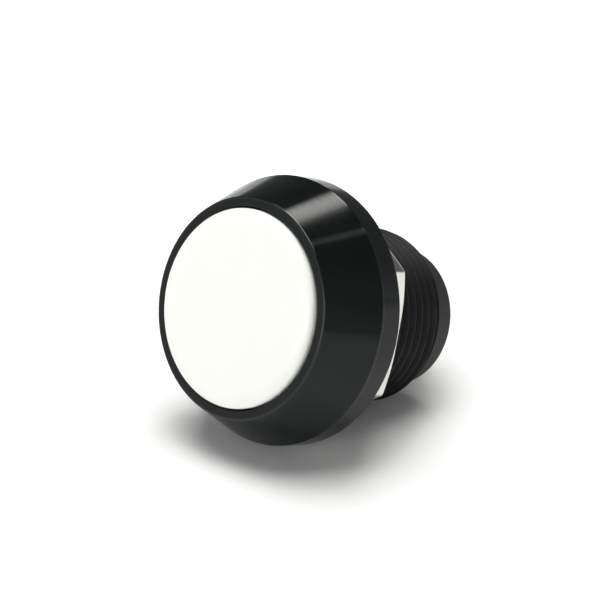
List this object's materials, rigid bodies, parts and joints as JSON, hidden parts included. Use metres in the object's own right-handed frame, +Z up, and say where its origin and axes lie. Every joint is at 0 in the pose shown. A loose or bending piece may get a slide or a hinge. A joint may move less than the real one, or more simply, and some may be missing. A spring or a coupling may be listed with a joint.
{
  "type": "panel-mount push button",
  "caption": "Panel-mount momentary push button: domed white cap in a black conical bezel on a threaded barrel, clamped by a hex nut, with two solder blades at the rear.",
  "frame": {"origin": "centre of the cap's crown at rest, the point that is pressed, on the barrel's axis", "axes": "+Y along the barrel's axis from the cap towards the terminals, +Z up (the terminals stand one above the other), +X to the right seen from the front"},
  "size_m": [0.0176, 0.0207, 0.0176],
  "materials": {
    "black_anodised": "black anodised, fine turning marks",
    "white_cap": "moulded, glossy",
    "nickel_plate": "bright nickel plate on brass",
    "spring_steel": "plain spring steel",
    "seal_rubber": "matt moulded rubber",
    "black_plastic": "fine moulded texture",
    "spring_bronze": "stamped bronze strip",
    "contact_silver": "silver alloy contact face",
    "tinned_brass": "dull tin plate on brass",
    "sealing_resin": "cast resin with a meniscus"
  },
  "bodies": {
    "root": {"housing": "black_anodised", "panel_o_ring": "seal_rubber", "stem_o_ring": "seal_rubber", "return_spring": "spring_steel", "guide_bush": "black_plastic", "insulating_sleeve": "black_plastic", "terminal_base": "black_plastic", "terminal_upper": "tinned_brass", "terminal_lower": "tinned_brass", "fixed_contact_upper": "contact_silver", "fixed_contact_lower": "contact_silver", "epoxy_seal": "sealing_resin"},
    "button": {"button_cap": "white_cap", "plunger": "black_plastic", "bridge_clip": "spring_steel", "contact_spring": "spring_steel"},
    "bridge": {"contact_bridge": "spring_bronze", "bridge_contact_upper": "contact_silver", "bridge_contact_lower": "contact_silver"},
    "washer": {"lock_washer": "spring_steel"},
    "nut": {"hex_nut": "nickel_plate"}
  },
  "joints": [
    {"name": "button_press", "type": "slide", "parent": "root", "child": "button", "axis": [0, 1, 0], "range_m": [0, 0.0018], "stiffness_N_per_m": 20, "deforming": ["return_spring"]},
    {"name": "bridge_overtravel", "type": "slide", "parent": "button", "child": "bridge", "axis": [0, 1, 0], "range_m": [-0.0006, 0], "deforming": ["contact_spring"]},
    {"name": "nut_run", "type": "slide", "parent": "root", "child": "washer", "axis": [0, 1, 0], "range_m": [0, 0.006]},
    {"name": "nut_spin", "type": "hinge", "parent": "washer", "child": "nut", "pos_m": [0, 0.00749, 0], "axis": [0, 1, 0], "range_deg": [0, 2880]}
  ],
  "couplings": [
    {"joint": "bridge_overtravel", "follows": "button_press", "ratio": -0.33333},
    {"joint": "nut_spin", "follows": "nut_run", "rad_per_m": 8377.6}
  ]
}
